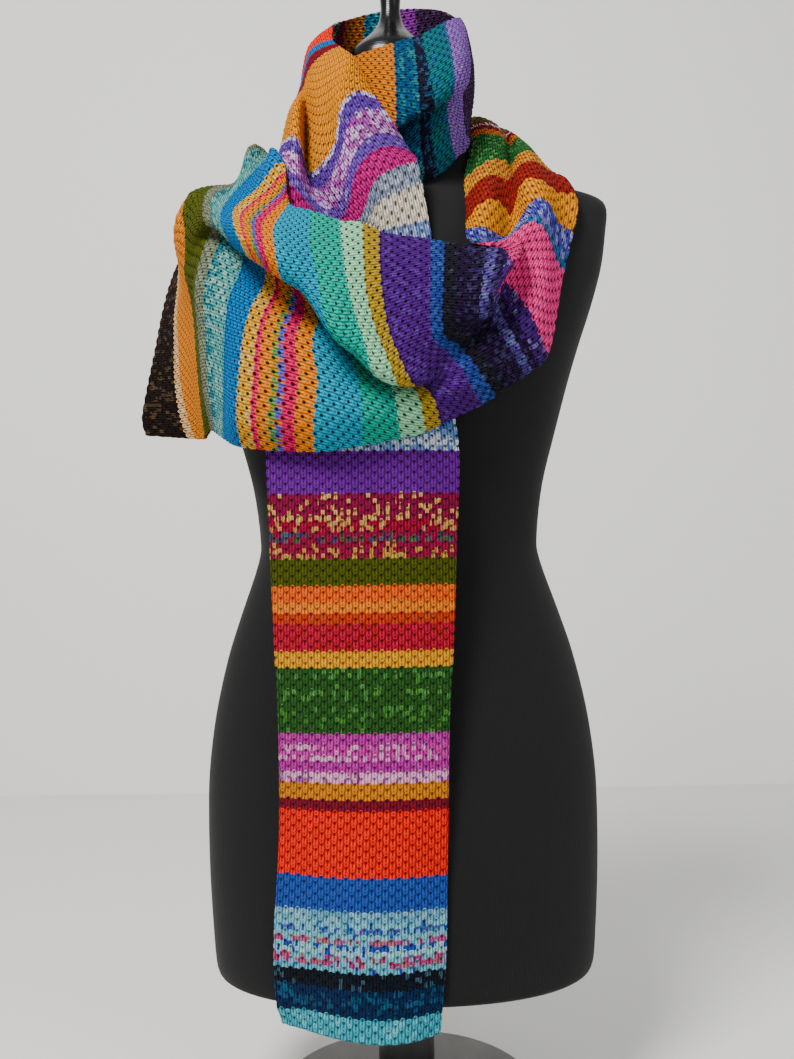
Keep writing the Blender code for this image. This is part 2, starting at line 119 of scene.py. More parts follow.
# Patterns of the form and the stand.  Ribs, fuzz, rings and dimples are coarser than real ones, so that
# they show
HIP_GIRTH = 925.0
JERSEY_RIB = 2.2           # from one rib to the next at the hip
JERSEY_FUZZ = 1.11         # a tuft of fuzz on the jersey
JERSEY_CLOUD = 111.0       # a patch where the jersey is a little lighter or darker
TURNING_MARK = 1.8         # from one turning ring of the cap to the next
LACQUER_HAZE = 16.7        # a patch of duller lacquer
ORANGE_PEEL = 1.43         # a dimple of the powder coat
COAT_WEAR = 40.0           # a patch of duller powder coat

# The room and the camera, in metres
ROOM_SIZE = 8.0
WALL_BEHIND = 1.4
CAMERA_PLACE = (-0.0014, -0.9504, 0.465)
CAMERA_TILT = math.radians(93.0)
CAMERA_LEAN = math.radians(-0.9)

# One row per level of the dress form: height, half width, depth to the front, depth to the back,
# squareness
TORSO_LEVELS = [
    (118, 150, 88, 98, 2.3),
    (121, 161, 96, 108, 2.3),
    (130, 168, 101, 114, 2.3),
    (160, 171, 104, 118, 2.3),
    (211, 174, 105, 119, 2.3),
    (260, 175, 102, 116, 2.3),
    (301, 174, 98, 109, 2.3),
    (350, 168, 92, 97, 2.3),
    (400, 157, 86, 85, 2.25),
    (438, 145, 83, 78, 2.2),
    (485, 129, 80, 73, 2.2),
    (508, 127, 80, 72, 2.2),
    (554, 133, 85, 75, 2.2),
    (600, 145, 95, 82, 2.25),
    (647, 158, 108, 88, 2.3),
    (682, 169, 113, 92, 2.35),
    (717, 181, 109, 95, 2.4),
    (752, 191, 98, 94, 2.5),
    (785, 196, 84, 87, 2.6),
    (806, 198, 72, 76, 2.7),
    (815, 192, 64, 67, 2.6),
    (823, 168, 58, 60, 2.4),
    (834, 130, 53, 55, 2.2),
    (851, 92, 51, 54, 2.1),
    (871, 67, 50, 53, 2.0),
    (900, 53, 48, 50, 2.0),
    (944, 48, 46, 48, 2.0),
]

# Turned cap on the neck: radius and height, from the knob down to its outer edge
CAP_PROFILE = [
    (10.0, 1062.0),
    (14.0, 1058.0),
    (17.0, 1050.0),
    (17.5, 1042.0),
    (15.0, 1033.0),
    (11.0, 1025.0),
    (9.5, 1014.0),
    (9.8, 1003.0),
    (13.0, 992.0),
    (21.0, 981.0),
    (32.0, 970.0),
    (41.0, 960.0),
    (44.0, 952.0),
]

# The scarf, hem of the hanging tail first.  One row per line across the cloth: its name, then
# points (x, y, z) from the outer selvedge to the one that lies nearer the neck.
LINES = [
    ("hem", [(-102, -78, 107), (-70, -100, 102), (-29, -116, 100), (2, -114, 100), (27, -100, 102)]),
    ("tail_low", [(-104, -82, 168), (-69, -104, 168), (-32, -118, 169), (2, -116, 169), (33, -102, 169)]),
    ("tail_hip", [(-102, -92, 254), (-66, -110, 254), (-31, -118, 254), (3, -117, 254), (36, -108, 254)]),
    ("tail_mid", [(-101, -102, 345), (-66, -112, 345), (-30, -117, 345), (6, -116, 345), (39, -110, 345)]),
    ("tail_waist", [(-104, -102, 420), (-67, -113, 420), (-29, -118, 420), (8, -117, 420),
                    (44, -109, 420)]),
    ("tail_high", [(-107, -103, 501), (-68, -114, 500), (-29, -119, 500), (10, -118, 500),
                   (48, -110, 500)]),
    ("tail_top", [(-109, -102, 573), (-68, -114, 571), (-28, -119, 570), (12, -118, 570),
                  (51, -109, 570)]),
    ("chest_low", [(-110, -100, 625), (-69, -114, 622), (-29, -120, 621), (9, -118, 620),
                   (45, -108, 621)]),
    ("chest_mid", [(-111, -100, 695), (-72, -114, 691), (-35, -118, 689), (4, -117, 689), (37, -110, 694)]),
    ("chest_blue", [(-109, -88, 743), (-75, -98, 736), (-41, -104, 737), (-4, -106, 746), (32, -100, 752)]),
    ("chest_grey", [(-107, -84, 784), (-80, -98, 766), (-53, -102, 754), (-27, -112, 768),
                    (-15, -116, 796), (4, -108, 811), (21, -94, 822)]),
    ("chest_pink", [(-104, -78, 815), (-88, -98, 801), (-73, -94, 785), (-61, -90, 773),
                    (-49, -92, 768), (-37, -108, 774), (-30, -116, 803), (-16, -110, 822),
                    (1, -98, 831), (17, -84, 831)]),
    ("neck_low", [(-99, -50, 857), (-88, -76, 852), (-81, -82, 846), (-77, -62, 828), (-72, -66, 823),
                  (-61, -88, 821), (-47, -106, 833), (-42, -110, 864), (-28, -102, 879), (-13, -90, 877)]),
    ("neck_mid", [(-94, -40, 887), (-86, -64, 887), (-81, -66, 882), (-79, -46, 875), (-75, -48, 876),
                  (-64, -74, 876), (-52, -92, 891), (-40, -94, 908), (-35, -88, 918), (-29, -80, 914)]),
    ("neck_high", [(-90, -16, 912), (-84, -28, 914), (-79, -34, 917), (-75, -40, 927), (-68, -48, 933),
                   (-58, -52, 939), (-50, -52, 943), (-45, -52, 945)]),
    ("neck_side", [(-88, 8, 926), (-84, -2, 938), (-80, -10, 949), (-75, -18, 959), (-67, -24, 962),
                   (-59, -26, 964), (-53, -26, 965)]),
    ("neck_turn", [(-80, 34, 925), (-83, 26, 945), (-81, 20, 965), (-76, 15, 981), (-68, 10, 990),
                   (-60, 5, 993), (-54, 2, 994)]),
    ("back_left", [(-52, 72, 903), (-56, 70, 945), (-53, 64, 990), (-46, 54, 1030)]),
    ("back", [(0, 88, 893), (0, 88, 940), (0, 80, 1000), (0, 68, 1048)]),
    ("back_right", [(56, 68, 922), (58, 64, 950), (55, 58, 990), (47, 48, 1036)]),
    ("side_right", [(78, 22, 936), (79, 23, 952), (76, 20, 978), (65, 15, 1006)]),
    ("wrap_lilac", [(62, -28, 851), (62, -34, 865), (62, -38, 880), (62, -34, 898), (63, -26, 916),
                    (64, -24, 934), (64, -32, 940), (64, -44, 926), (64, -58, 902), (67, -60, 908),
                    (69, -54, 926), (69, -44, 946), (67, -30, 972), (63, -14, 992)]),
    ("wrap_teal", [(56, -50, 840), (52, -60, 850), (50, -64, 864), (49, -60, 880), (49, -52, 900),
                   (49, -50, 920), (50, -56, 925), (50, -70, 908), (50, -88, 880), (54, -92, 890),
                   (54, -82, 914), (53, -64, 940), (50, -40, 974)]),
    ("wrap_black", [(40, -60, 821), (38, -70, 833), (35, -76, 847), (34, -70, 866), (35, -62, 888),
                    (36, -58, 908), (37, -64, 913), (38, -78, 894), (37, -98, 866), (36, -104, 878),
                    (33, -92, 903), (30, -76, 927), (29, -54, 955)]),
    ("wrap_blue", [(28, -64, 814), (27, -74, 827), (25, -80, 840), (25, -76, 858), (25, -68, 880),
                   (26, -64, 900), (25, -70, 904), (25, -82, 886), (24, -104, 857), (24, -108, 871),
                   (23, -96, 897), (22, -80, 922), (20, -60, 949)]),
    ("wrap_tan", [(8, -64, 813), (8, -74, 825), (6, -78, 839), (6, -74, 854), (5, -66, 874),
                  (5, -70, 882), (5, -82, 868), (5, -96, 850), (5, -100, 864), (5, -94, 889),
                  (4, -80, 918), (3, -62, 943)]),
    ("wrap_tuck", [(-38, -52, 826), (-41, -53, 852), (-41, -52, 878), (-40, -50, 906), (-39, -44, 938)]),
    ("under_left", [(-66, -14, 836), (-67, -14, 862), (-64, -12, 890), (-60, -8, 915), (-57, -6, 940)]),
    ("under_back_left", [(-64, 46, 858), (-58, 46, 880), (-52, 44, 905), (-47, 42, 930), (-44, 40, 955)]),
    ("under_back", [(12, 78, 872), (8, 70, 888), (5, 64, 908), (3, 60, 930), (2, 58, 952)]),
    ("under_back_right", [(82, 78, 878), (72, 70, 890), (62, 60, 899), (53, 50, 908), (46, 40, 918)]),
    ("shoulder_brown", [(116, 58, 907), (106, 52, 913), (98, 44, 916), (89, 36, 917), (81, 26, 915),
                        (73, 14, 907)]),
    ("shoulder_green", [(127, 26, 889), (118, 12, 887), (113, 18, 881), (103, -4, 881), (92, -16, 879),
                        (80, -22, 876), (70, -22, 869)]),
    ("shoulder_gold", [(138, -12, 853), (126, -38, 852), (116, -44, 850), (111, -34, 846),
                       (106, -32, 836), (99, -50, 839), (88, -62, 836), (78, -68, 829), (70, -66, 822),
                       (62, -58, 809)]),
    ("shoulder_red", [(155, -44, 801), (142, -66, 805), (131, -78, 809), (120, -84, 811),
                      (111, -80, 809), (106, -72, 796), (98, -80, 776), (93, -86, 787), (85, -98, 790),
                      (77, -104, 786), (70, -104, 780), (61, -92, 767)]),
    ("shoulder_mustard", [(152, -66, 766), (140, -84, 770), (132, -94, 782), (124, -98, 788),
                          (116, -96, 784), (110, -86, 775), (102, -88, 762), (95, -92, 754),
                          (86, -104, 753), (77, -112, 757), (70, -112, 759), (61, -102, 760)]),
    ("shoulder_lilac", [(143, -78, 730), (135, -92, 740), (129, -102, 752), (122, -110, 761),
                        (114, -110, 763), (106, -102, 760), (99, -98, 755), (91, -100, 751),
                        (81, -108, 746), (72, -112, 745), (63, -108, 747)]),
    ("cowl_pink", [(129, -92, 658), (122, -104, 669), (116, -112, 682), (110, -110, 696),
                   (101, -100, 709), (93, -96, 716), (89, -106, 717), (85, -118, 705), (82, -130, 703),
                   (88, -136, 712), (96, -134, 722), (104, -124, 733), (106, -106, 746)]),
    ("cowl_white", [(113, -98, 640), (103, -110, 654), (95, -116, 667), (89, -112, 680),
                    (85, -104, 692), (81, -112, 693), (76, -124, 681), (72, -136, 681),
                    (74, -140, 691), (77, -138, 705), (80, -132, 721), (84, -116, 739)]),
    ("cowl_black", [(84, -100, 621), (72, -118, 633), (61, -124, 647), (54, -118, 657),
                    (50, -126, 660), (41, -138, 660), (38, -144, 671), (39, -142, 693),
                    (41, -134, 719), (43, -118, 744)]),
    ("cowl_blue", [(71, -110, 611), (61, -128, 621), (53, -134, 635), (45, -128, 646), (40, -134, 651),
                   (30, -146, 655), (27, -150, 673), (28, -147, 696), (29, -138, 722), (30, -120, 746)]),
    ("cowl_purple", [(36, -118, 594), (31, -138, 609), (27, -138, 616), (21, -130, 624),
                     (19, -140, 625), (17, -152, 619), (11, -162, 622), (3, -164, 639),
                     (-5, -160, 662), (-9, -156, 690), (-11, -145, 720), (-11, -122, 752)]),
    ("cowl_gold", [(23, -122, 587), (20, -142, 600), (18, -140, 612), (12, -132, 622), (5, -128, 632),
                   (3, -140, 631), (3, -154, 620), (-1, -168, 621), (-7, -172, 636), (-15, -168, 656),
                   (-23, -162, 689), (-25, -148, 724), (-26, -122, 761)]),
    ("cowl_mint", [(5, -124, 582), (2, -144, 598), (0, -144, 613), (-5, -134, 626), (-11, -128, 639),
                   (-14, -140, 639), (-13, -156, 626), (-16, -172, 625), (-20, -176, 641),
                   (-29, -172, 667), (-35, -166, 692), (-39, -150, 725), (-43, -118, 763)]),
    ("cowl_green", [(-28, -128, 576), (-26, -148, 594), (-28, -150, 614), (-32, -140, 633),
                    (-37, -128, 654), (-44, -126, 669), (-47, -140, 669), (-45, -156, 655),
                    (-48, -172, 655), (-53, -178, 670), (-58, -172, 695), (-66, -152, 732),
                    (-68, -114, 774)]),
    ("cowl_cyan", [(-64, -128, 571), (-63, -148, 594), (-59, -152, 625), (-64, -148, 650),
                   (-63, -140, 665), (-60, -126, 683), (-71, -118, 703), (-82, -118, 720),
                   (-85, -132, 720), (-86, -148, 706), (-87, -164, 704), (-89, -172, 714),
                   (-92, -166, 730), (-94, -148, 748), (-87, -104, 782)]),
    ("cowl_orange", [(-126, -98, 579), (-128, -120, 600), (-124, -128, 642), (-120, -126, 672),
                     (-114, -118, 695), (-104, -104, 715), (-107, -96, 732), (-115, -98, 745),
                     (-119, -112, 747), (-117, -130, 731), (-117, -146, 730), (-121, -150, 740),
                     (-127, -142, 753), (-130, -118, 774), (-116, -94, 794), (-88, -76, 808)]),
    ("cowl_azure", [(-151, -50, 593), (-145, -84, 623), (-140, -104, 674), (-136, -104, 705),
                    (-127, -92, 727), (-124, -80, 744), (-131, -78, 759), (-135, -92, 760),
                    (-133, -106, 748), (-134, -120, 748), (-138, -126, 756), (-142, -118, 768),
                    (-140, -94, 790), (-131, -66, 815), (-117, -46, 836), (-106, -36, 846)]),
    ("left_teal", [(-169, -12, 607), (-170, -44, 639), (-170, -66, 688), (-170, -78, 721),
                   (-164, -76, 746), (-157, -66, 764), (-153, -60, 774), (-154, -72, 777),
                   (-157, -90, 771), (-160, -90, 783), (-160, -72, 805), (-153, -50, 819),
                   (-143, -34, 826), (-136, -32, 843), (-132, -22, 869), (-124, -8, 875), (-113, 6, 865)]),
    ("left_olive", [(-178, 4, 603), (-179, -14, 638), (-180, -26, 679), (-181, -34, 723),
                    (-182, -38, 753), (-180, -42, 770), (-177, -42, 785), (-173, -26, 804),
                    (-164, -4, 820), (-150, 12, 831), (-134, 20, 848), (-119, 28, 871)]),
    ("left_tan", [(-188, 22, 604), (-195, 16, 628), (-201, 14, 660), (-203, 14, 693), (-205, 18, 726),
                  (-204, 26, 756), (-205, 38, 782), (-204, 52, 801), (-193, 70, 821), (-175, 80, 834)]),
    ("end", [(-244, 40, 611), (-249, 44, 628), (-244, 48, 660), (-237, 54, 699), (-231, 62, 739),
             (-226, 74, 770), (-219, 88, 797), (-209, 98, 813), (-194, 106, 824), (-174, 110, 831)]),
]

# One row per stretch, all of them lying on the form: piece, solid it stands for, first line, last line,
# and how deep the painted shade in its holes is, deeper where its stitches are wide open
STRETCHES = [
    ("knit_tail", "scarf_tail", "hem", "tail_top", 0.55),
    ("knit_chest", "scarf_chest", "tail_top", "chest_pink", 0.80),
    ("knit_neck_left", "scarf_neck_left", "chest_pink", "neck_turn", 0.75),
    ("knit_neck_back", "scarf_neck_back", "neck_turn", "side_right", 0.80),
    ("knit_neck_front", "scarf_neck_front", "side_right", "wrap_tuck", 0.70),
    ("knit_neck_under", "scarf_neck_under", "wrap_tuck", "under_back_right", 0.80),
    ("knit_shoulder_right", "scarf_shoulder_right", "under_back_right", "shoulder_mustard", 0.70),
    ("knit_cowl_right", "scarf_cowl_right", "shoulder_mustard", "cowl_purple", 0.85),
    ("knit_cowl_left", "scarf_cowl_left", "cowl_purple", "cowl_azure", 0.95),
    ("knit_shoulder_left", "scarf_shoulder_left", "cowl_azure", "left_olive", 0.80),
    ("knit_end", "scarf_end", "left_olive", "end", 0.55),
]
# The order in which the cloth is laid on the form, innermost stretch first
LAID = ["knit_neck_under", "knit_neck_front", "knit_shoulder_right", "knit_neck_back", "knit_neck_left",
        "knit_chest", "knit_tail", "knit_cowl_right", "knit_cowl_left", "knit_shoulder_left", "knit_end"]

# The yarns in knitting order from the hem.  One row per band: where it starts, counted in lines from
# the hem, its colour, the colour of its flecks and how much of it they take
BANDS = [
    (0.00, "#62a8b8", "#8fc8d0", 0.20),
    (0.28, "#1a2c4c", "#2c5478", 0.20),
    (0.62, "#15181f", "#4a5c68", 0.12),
    (0.80, "#86b4c4", "#3f55a8", 0.50),
    (0.90, "#8cb8c4", "#b04070", 0.42),
    (1.00, "#4a5ca8", "#a0c8d0", 0.50),
    (1.09, "#88b4c0", "#b04070", 0.45),
    (1.18, "#94bcc8", "#3f55a8", 0.45),
    (1.30, "#7fa4b8", "#a8c0cc", 0.40),
    (1.42, "#4a60a8", "#4a60a8", 0.00),
    (1.71, "#ff1400", "#ff1400", 0.00),
    (2.31, "#7c2c38", "#7c2c38", 0.00),
    (2.39, "#d88430", "#d88430", 0.00),
    (2.56, "#dcb4cc", "#b04a98", 0.45),
    (2.62, "#b04a98", "#c060a8", 0.20),
    (2.76, "#c060a0", "#dcb4cc", 0.36),
    (2.88, "#b04a98", "#c060a8", 0.20),
    (2.97, "#dcb4cc", "#b04a98", 0.35),
    (3.01, "#33502f", "#55804a", 0.15),
    (3.22, "#33502f", "#5c8850", 0.24),
    (3.67, "#e8a03c", "#e8a03c", 0.00),
    (3.84, "#b83444", "#b03838", 0.15),
    (4.15, "#c84430", "#c44a2c", 0.20),
    (4.27, "#f48848", "#f48848", 0.00),
    (4.39, "#f4602c", "#f07838", 0.15),
    (4.54, "#4a501d", "#4a501d", 0.00),
    (4.81, "#8c2a44", "#c8a060", 0.22),
    (4.95, "#8c2844", "#34182c", 0.40),
    (5.08, "#98283c", "#c8a070", 0.26),
    (5.21, "#842644", "#dcb878", 0.28),
    (5.50, "#6c3090", "#6c3090", 0.00),
    (6.00, "#8fa3c8", "#d8dce4", 0.35),
    (6.40, "#7088b8", "#c8d0dc", 0.20),
    (7.00, "#3f6fb4", "#6f98c4", 0.20),
    (8.00, "#7c86b4", "#b8c0d4", 0.25),
    (9.00, "#8c98bc", "#c4c6d0", 0.30),
    (9.25, "#d8d0c4", "#e8e4dc", 0.20),
    (9.60, "#8f95a3", "#b4b8c0", 0.22),
    (10.00, "#c82a80", "#c82a80", 0.00),
    (11.00, "#7c66a8", "#b09ccc", 0.25),
    (11.28, "#ccb4d4", "#a858a4", 0.35),
    (11.45, "#a868a8", "#d8c4dc", 0.30),
    (11.70, "#7058a0", "#9480b8", 0.20),
    (11.93, "#d0c8dc", "#7c68a8", 0.25),
    (12.00, "#f4940a", "#f4940a", 0.00),
    (14.00, "#8a1a2a", "#8a1a2a", 0.00),
    (14.50, "#2a76ba", "#2a76ba", 0.00),
    (15.00, "#ff3018", "#ff3018", 0.00),
    (16.00, "#94204a", "#94204a", 0.00),
    (16.25, "#3f7050", "#b8ccb8", 0.30),
    (16.75, "#8e1b52", "#8e1b52", 0.00),
    (17.00, "#b0662e", "#b0662e", 0.00),
    (17.50, "#2f6f8a", "#6a9ca8", 0.25),
    (18.10, "#8a4a9a", "#8a4a9a", 0.00),
    (18.50, "#3b2a42", "#54405c", 0.25),
    (20.90, "#957cb4", "#a890c0", 0.20),
    (22.00, "#126c74", "#185888", 0.30),
    (23.00, "#1c1a2a", "#28486c", 0.25),
    (24.00, "#124a74", "#10747c", 0.30),
    (25.00, "#dc7c1c", "#dc7c1c", 0.00),
    (26.60, "#3c7a6a", "#3c7a6a", 0.00),
    (27.60, "#8c3a2c", "#8c3a2c", 0.00),
    (28.50, "#5b6a2c", "#7a8a44", 0.20),
    (29.40, "#c9893a", "#c9893a", 0.00),
    (30.20, "#6b5a2c", "#84744a", 0.20),
    (31.45, "#cfcac0", "#8c2430", 0.35),
    (31.60, "#8c2430", "#8c2430", 0.00),
    (31.80, "#d0702e", "#d0702e", 0.00),
    (32.00, "#2f5e35", "#6c9060", 0.20),
    (33.00, "#d89838", "#d87028", 0.25),
    (33.45, "#98302c", "#a84038", 0.15),
    (34.00, "#f0940c", "#f0940c", 0.00),
    (35.00, "#6462a8", "#a8a8cc", 0.30),
    (35.60, "#3f6ca0", "#9488b8", 0.35),
    (36.00, "#ff74a4", "#ff74a4", 0.00),
    (37.00, "#4a346c", "#8c84ac", 0.26),
    (37.60, "#2a1e3c", "#4c3c68", 0.25),
    (37.90, "#544a78", "#6c6490", 0.35),
    (38.20, "#241a30", "#3c3054", 0.22),
    (38.70, "#1c1b22", "#3c3c48", 0.20),
    (39.00, "#485490", "#5c70b0", 0.20),
    (40.00, "#522c78", "#6c4a98", 0.18),
    (41.00, "#b89a4c", "#b89a4c", 0.00),
    (42.00, "#a8d0b4", "#bcdcc4", 0.20),
    (43.00, "#00b49c", "#00b49c", 0.00),
    (44.00, "#00a4c8", "#00a4c8", 0.00),
    (45.00, "#f88a28", "#f49a40", 0.20),
    (45.28, "#e82a64", "#e82a64", 0.00),
    (45.38, "#7c7ab6", "#e87c40", 0.30),
    (45.48, "#c4902e", "#6c9a5c", 0.30),
    (45.56, "#f48424", "#f49a40", 0.20),
    (45.72, "#ec2c64", "#ec2c64", 0.00),
    (45.80, "#e8a844", "#e8c890", 0.25),
    (46.00, "#0078c0", "#0078c0", 0.00),
    (47.00, "#6c9c9c", "#a4bcb4", 0.35),
    (47.40, "#3f7c88", "#94b4ac", 0.30),
    (47.72, "#6c7064", "#848a7c", 0.20),
    (48.00, "#50581c", "#50581c", 0.00),
    (49.00, "#e88c40", "#e89448", 0.15),
    (50.00, "#d8b898", "#e4ccb0", 0.20),
    (50.25, "#1a1412", "#4c4034", 0.14),
]

# The laid cloth: its points and the ways out of it, how many rows of stitches lie between the hem and
# each row of points, the strip's width there, and the bands with their starts in rows of stitches
Cloth = namedtuple("Cloth", "grid normals stitch_rows widths bands")


# ---------------------------------------------------------------- colours and shader nodes

def linear(code):
    """A linear colour from an sRGB hex code."""
    parts = [int(code[k:k + 2], 16) / 255 for k in (1, 3, 5)]
    return [c / 12.92 if c <= 0.04045 else ((c + 0.055) / 1.055) ** 2.4 for c in parts]


def yarn(code):
    """The linear colour of a dyed yarn, its weaker parts held back so that it stays deep in bright light."""
    colour = linear(code)
    low = min(colour)
    high = max(colour)
    light = PALE_LIGHT - DEEP_LOSS * (1 - low / high)
    return [max(0.0, c - DEPTH * (high - c) * low / high) * light for c in colour]


def put(socket, value):
    """Link what comes from another node, or set a plain value."""
    if isinstance(value, bpy.types.NodeSocket):
        socket.id_data.links.new(value, socket)
    else:
        socket.default_value = value


def add(tree, kind, *inputs, **named):
    """Add a node and return its first output.  A kind in capitals is an operation of the Math node.
    Inputs come in the node's own order, or by name with a capital; the other names are its settings."""
    if kind.isupper():
        named["operation"] = kind
        kind = "Math"
    node = tree.nodes.new("ShaderNode" + kind)
    for name, value in named.items():
        if name[0].islower():
            setattr(node, name, value)
    shown = [socket for socket in node.inputs if socket.enabled]
    for socket, value in zip(shown, inputs):
        put(socket, value)
    for name, value in named.items():
        if name[0].isupper():
            put(node.inputs[name], value)
    return next(socket for socket in node.outputs if socket.enabled)


def new_material(name):
    made = bpy.data.materials.new(name)
    made.use_nodes = True
    return made


def finished(material, **inputs):
    """The material, with its shader's inputs linked or set by name."""
    shader = material.node_tree.nodes["Principled BSDF"]
    for name, value in inputs.items():
        put(shader.inputs[name.replace("_", " ")], value)
    return material


def object_place(tree):
    """Where a point of the piece is, in metres from the middle of the stand's foot."""
    return add(tree, "TexCoord").node.outputs["Object"]


def striped(tree, place, starts, colours):
    """Flat colours along the strip, each from its own start; returns the colour and its fourth value."""
    ramp = add(tree, "ValToRGB", place).node
    steps = ramp.color_ramp
    steps.interpolation = "CONSTANT"
    steps.elements[0].position = 0.0
    steps.elements[0].color = colours[0]
    steps.elements.remove(steps.elements[1])
    for start, colour in zip(starts[1:], colours[1:]):
        steps.elements.new(start).color = colour
    return ramp.outputs


def knit_rows(tree, wale, row):
    """The row of stitches that each point is part of, and whether its arch is low (0) or tall (1).
    Each row ends in arches, a tall one and a low one in turn, that reach up into the next row."""
    lobe = add(tree, "COSINE", add(tree, "MULTIPLY", wale, math.pi))
    full = add(tree, "FLOOR", row)
    within = add(tree, "SUBTRACT", row, full)
    before = add(tree, "PINGPONG", add(tree, "SUBTRACT", full, 1.0), 1.0)
    side = add(tree, "MULTIPLY_ADD", before, -2.0, 1.0)
    swing = add(tree, "MULTIPLY", add(tree, "MULTIPLY", lobe, side), REACH_SWING)
    reach = add(tree, "MULTIPLY_ADD", add(tree, "ABSOLUTE", lobe), REACH, swing)
    below = add(tree, "LESS_THAN", within, reach)
    own = add(tree, "SUBTRACT", full, below)
    side = add(tree, "MULTIPLY_ADD", add(tree, "PINGPONG", own, 1.0), -2.0, 1.0)
    sign = add(tree, "SIGN", add(tree, "MULTIPLY", lobe, side))
    return own, add(tree, "MULTIPLY_ADD", sign, 0.5, 0.5)


def yarn_colour(tree, wale, own, bands, first_row, last_row):
    """The colour of each row's yarn with the flecks dyed into it, and a number by chance for each cell,
    half a stitch wide.  Flecks come in clumps, and some rows take many of them and some take few."""
    span = last_row - first_row
    place = add(tree, "SUBTRACT", add(tree, "ADD", own, 0.5), first_row)
    place = add(tree, "MULTIPLY", place, 1 / span)
    starts = [(start - first_row) / span for start, code, fleck, amount in bands]
    mains = [yarn(code) + [1.0] for start, code, fleck, amount in bands]
    flecks = [yarn(fleck) + [amount] for start, code, fleck, amount in bands]
    main = striped(tree, place, starts, mains)[0]
    speck, amount = striped(tree, place, starts, flecks)
    cell = add(tree, "CombineXYZ", add(tree, "ROUND", add(tree, "MULTIPLY", wale, 2.0)), own)
    chance, stray = add(tree, "TexWhiteNoise", cell, noise_dimensions="2D").node.outputs
    drift_across = add(tree, "MULTIPLY", wale, CLUMP_ACROSS)
    drift = add(tree, "CombineXYZ", drift_across, add(tree, "MULTIPLY", own, CLUMP_ALONG))
    clump = add(tree, "TexNoise", drift, Scale=1.0, Detail=1.0)
    draw = add(tree, "MULTIPLY_ADD", add(tree, "SUBTRACT", clump, 0.5), CLUMPING, chance)
    draw = add(tree, "MAXIMUM", draw, LEAST_DRAW)
    lively = add(tree, "TexWhiteNoise", own, noise_dimensions="1D")
    lively = add(tree, "MULTIPLY_ADD", lively, MOST_FLECKS - FEWEST_FLECKS, FEWEST_FLECKS)
    flecked = add(tree, "LESS_THAN", draw, add(tree, "MULTIPLY", amount, lively))
    # A yarn with more flecks has more of them in stray colours
    strayed = add(tree, "POWER", amount, STRAY_POWER)
    speck = add(tree, "Mix", strayed, speck, stray, data_type="RGBA")
    return add(tree, "Mix", flecked, main, speck, data_type="RGBA"), chance


def strand_and_hole(tree, wale, row, own, tall):
    """How deep each point lies in the strand of its stitch, and in the hole that the stitch goes round,
    both from 0 to 1.  The strand goes up one leg, round the arch and down the other leg."""
    radius = add(tree, "MULTIPLY_ADD", tall, TALL_ARCH - LOW_ARCH, LOW_ARCH)
    top = add(tree, "MULTIPLY_ADD", tall, TALL_TOP - LOW_TOP, LOW_TOP)
    aside = add(tree, "MULTIPLY", add(tree, "SUBTRACT", wale, add(tree, "ROUND", wale)), WALE)
    rise = add(tree, "SUBTRACT", add(tree, "SUBTRACT", row, own), top)
    rise = add(tree, "MULTIPLY_ADD", rise, ROW, radius)
    down_leg = add(tree, "MINIMUM", rise, 0.0)
    closing = add(tree, "MAXIMUM", add(tree, "MULTIPLY_ADD", down_leg, LEG_CLOSING, 1.0), LEG_LEAST)
    up_arch = add(tree, "MAXIMUM", rise, 0.0)
    aside_squared = add(tree, "MULTIPLY", aside, aside)
    ring = add(tree, "SQRT", add(tree, "ADD", aside_squared, add(tree, "MULTIPLY", up_arch, up_arch)))
    off = add(tree, "SUBTRACT", ring, add(tree, "MULTIPLY", radius, closing))
    off = add(tree, "DIVIDE", off, STRAND_HALF)
    strand = add(tree, "SUBTRACT", 1.0, add(tree, "MULTIPLY", off, off), use_clamp=True)
    hole_side = add(tree, "POWER", add(tree, "DIVIDE", aside, HOLE_HALF_WIDTH), 2.0)
    hole_rise = add(tree, "DIVIDE", add(tree, "ADD", rise, HOLE_BELOW_ARCH), HOLE_HALF_HEIGHT)
    hole_round = add(tree, "ADD", hole_side, add(tree, "POWER", hole_rise, 2.0))
    hole = add(tree, "SUBTRACT", HOLE_EDGE, hole_round, use_clamp=True)
    return strand, add(tree, "MULTIPLY", hole, add(tree, "MULTIPLY_ADD", tall, 1 - LOW_HOLE, LOW_HOLE))


